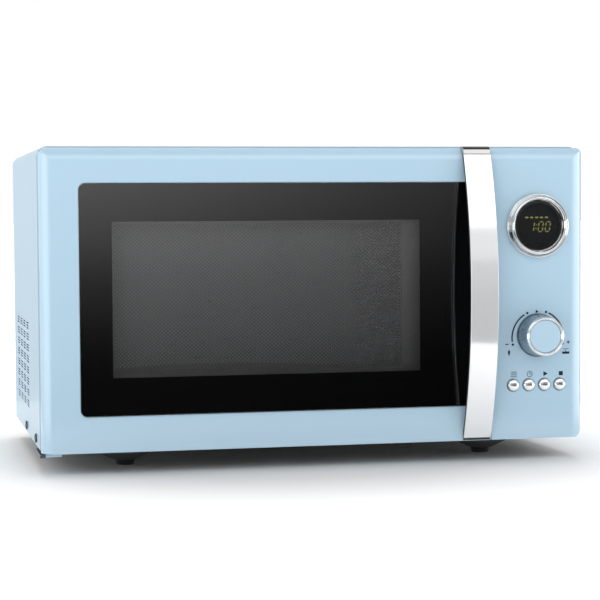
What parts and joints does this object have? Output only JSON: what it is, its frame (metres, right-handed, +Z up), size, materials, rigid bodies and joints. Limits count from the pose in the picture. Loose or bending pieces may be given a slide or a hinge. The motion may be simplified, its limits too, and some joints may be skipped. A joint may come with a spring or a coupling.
{
  "type": "microwave oven",
  "caption": "Countertop microwave oven with a hinged glass door, bow handle, control panel with display, knob and buttons, and a turntable cavity.",
  "frame": {"origin": "on the surface the oven stands on, under the middle of its bounding box", "axes": "+Z up, -Y out of the door, +X to the right seen from the front"},
  "size_m": [0.4886, 0.375, 0.28],
  "materials": {
    "painted_steel": "gloss",
    "painted_plastic": "gloss",
    "cap_paint": "satin",
    "chrome": "polished",
    "brushed_steel": "brushed",
    "stainless": "satin",
    "zinc_plate": "matte",
    "base_steel": "matte",
    "black_glass": "gloss",
    "display_lens": "gloss",
    "black_plastic": "matte",
    "grey_plastic": "matte",
    "white_plastic": "satin",
    "rubber": "matte",
    "tray_glass": "gloss",
    "mica": "matte",
    "copper": "satin",
    "lamination": "matte",
    "board": "matte",
    "quartz": "satin",
    "lamp_glass": "gloss"
  },
  "bodies": {
    "casing": {"back_plate": "zinc_plate", "base_plate": "base_steel", "capacitor": "stainless", "cavity": "stainless", "cavity_lamp": "lamp_glass", "control_board": "board", "control_panel": "painted_plastic", "cord_gland": "black_plastic", "display_bezel": "chrome", "display_lens": "display_lens", "encoder": "zinc_plate", "fan_motor": "lamination", "fan_shroud": "white_plastic", "filter_board": "board", "foot_front_left": "rubber", "foot_front_right": "rubber", "foot_rear_left": "rubber", "foot_rear_right": "rubber", "front_plate": "stainless", "grill_element": "quartz", "grill_reflector": "zinc_plate", "latch_bracket": "white_plastic", "lower_hinge": "base_steel", "lower_switch": "black_plastic", "magnetron": "zinc_plate", "outer_cabinet": "painted_steel", "rear_spacer_left": "black_plastic", "rear_spacer_right": "black_plastic", "screw_left_front": "zinc_plate", "screw_left_rear": "zinc_plate", "screw_right_front": "zinc_plate", "screw_right_rear": "zinc_plate", "transformer_coil": "copper", "transformer_core": "lamination", "turntable_motor": "stainless", "upper_hinge": "base_steel", "upper_switch": "black_plastic", "waveguide": "zinc_plate", "waveguide_cover": "mica"},
    "door": {"door_frame": "painted_plastic", "door_glass": "black_glass", "door_inner_plate": "zinc_plate", "choke_cover": "grey_plastic", "handle": "chrome"},
    "latch": {"latch_hook": "white_plastic", "latch_spring": "stainless"},
    "encoder_shaft": {"encoder_shaft": "brushed_steel"},
    "knob": {"knob": "brushed_steel", "knob_cap": "cap_paint"},
    "turntable_hub": {"turntable_hub": "grey_plastic"},
    "glass_tray": {"glass_tray": "tray_glass"},
    "roller_ring": {"roller_ring": "grey_plastic"},
    "fan_blade": {"fan_blade": "white_plastic"},
    "roller_wheel_1": {"roller_wheel_1": "white_plastic"},
    "roller_wheel_2": {"roller_wheel_2": "white_plastic"},
    "roller_wheel_3": {"roller_wheel_3": "white_plastic"},
    "button_1": {"button_1": "chrome"},
    "button_2": {"button_2": "chrome"},
    "button_3": {"button_3": "chrome"},
    "button_4": {"button_4": "chrome"}
  },
  "joints": [
    {"name": "door_hinge", "type": "hinge", "parent": "casing", "child": "door", "pos_m": [-0.231, -0.15, 0.1493], "axis": [0, 0, -1], "range_deg": [0, 100]},
    {"name": "latch_lift", "type": "slide", "parent": "door", "child": "latch", "axis": [0, 0, 1], "range_m": [0, 0.004], "stiffness_N_per_m": 250, "springref_m": -0.004, "deforming": ["latch_spring"]},
    {"name": "knob_push", "type": "slide", "parent": "casing", "child": "encoder_shaft", "axis": [0, 1, 0], "range_m": [0, 0.0012], "stiffness_N_per_m": 900, "springref_m": -0.001},
    {"name": "knob_turn", "type": "hinge", "parent": "encoder_shaft", "child": "knob", "pos_m": [0.197, -0.1615, 0.1122], "axis": [0, -1, 0], "continuous": true},
    {"name": "button_1_press", "type": "slide", "parent": "casing", "child": "button_1", "axis": [0, 1, 0], "range_m": [0, 0.001], "stiffness_N_per_m": 400, "springref_m": -0.001},
    {"name": "button_2_press", "type": "slide", "parent": "casing", "child": "button_2", "axis": [0, 1, 0], "range_m": [0, 0.001], "stiffness_N_per_m": 400, "springref_m": -0.001},
    {"name": "button_3_press", "type": "slide", "parent": "casing", "child": "button_3", "axis": [0, 1, 0], "range_m": [0, 0.001], "stiffness_N_per_m": 400, "springref_m": -0.001},
    {"name": "button_4_press", "type": "slide", "parent": "casing", "child": "button_4", "axis": [0, 1, 0], "range_m": [0, 0.001], "stiffness_N_per_m": 400, "springref_m": -0.001},
    {"name": "turntable_spin", "type": "hinge", "parent": "casing", "child": "turntable_hub", "pos_m": [-0.046, 0.0168, 0.04], "axis": [0, 0, 1], "continuous": true},
    {"name": "tray_lift_off", "type": "slide", "parent": "turntable_hub", "child": "glass_tray", "axis": [0, 0, 1], "range_m": [0, 0.05]},
    {"name": "roller_ring_spin", "type": "hinge", "parent": "casing", "child": "roller_ring", "pos_m": [-0.046, 0.0168, 0.0483], "axis": [0, 0, 1], "continuous": true},
    {"name": "roller_wheel_1_spin", "type": "hinge", "parent": "roller_ring", "child": "roller_wheel_1", "pos_m": [-0.046, 0.1123, 0.0483], "axis": [0, 1, 0], "continuous": true},
    {"name": "roller_wheel_2_spin", "type": "hinge", "parent": "roller_ring", "child": "roller_wheel_2", "pos_m": [-0.12871, -0.03095, 0.0483], "axis": [-0.866, -0.5, 0], "continuous": true},
    {"name": "roller_wheel_3_spin", "type": "hinge", "parent": "roller_ring", "child": "roller_wheel_3", "pos_m": [0.03671, -0.03095, 0.0483], "axis": [0.866, -0.5, 0], "continuous": true},
    {"name": "fan_spin", "type": "hinge", "parent": "casing", "child": "fan_blade", "pos_m": [0.178, 0.126, 0.19], "axis": [0, 1, 0], "continuous": true}
  ],
  "couplings": [
    {"joint": "roller_ring_spin", "follows": "turntable_spin", "ratio": 0.5},
    {"joint": "roller_wheel_1_spin", "follows": "turntable_spin", "ratio": -5.9688},
    {"joint": "roller_wheel_2_spin", "follows": "turntable_spin", "ratio": -5.9688},
    {"joint": "roller_wheel_3_spin", "follows": "turntable_spin", "ratio": -5.9688}
  ]
}
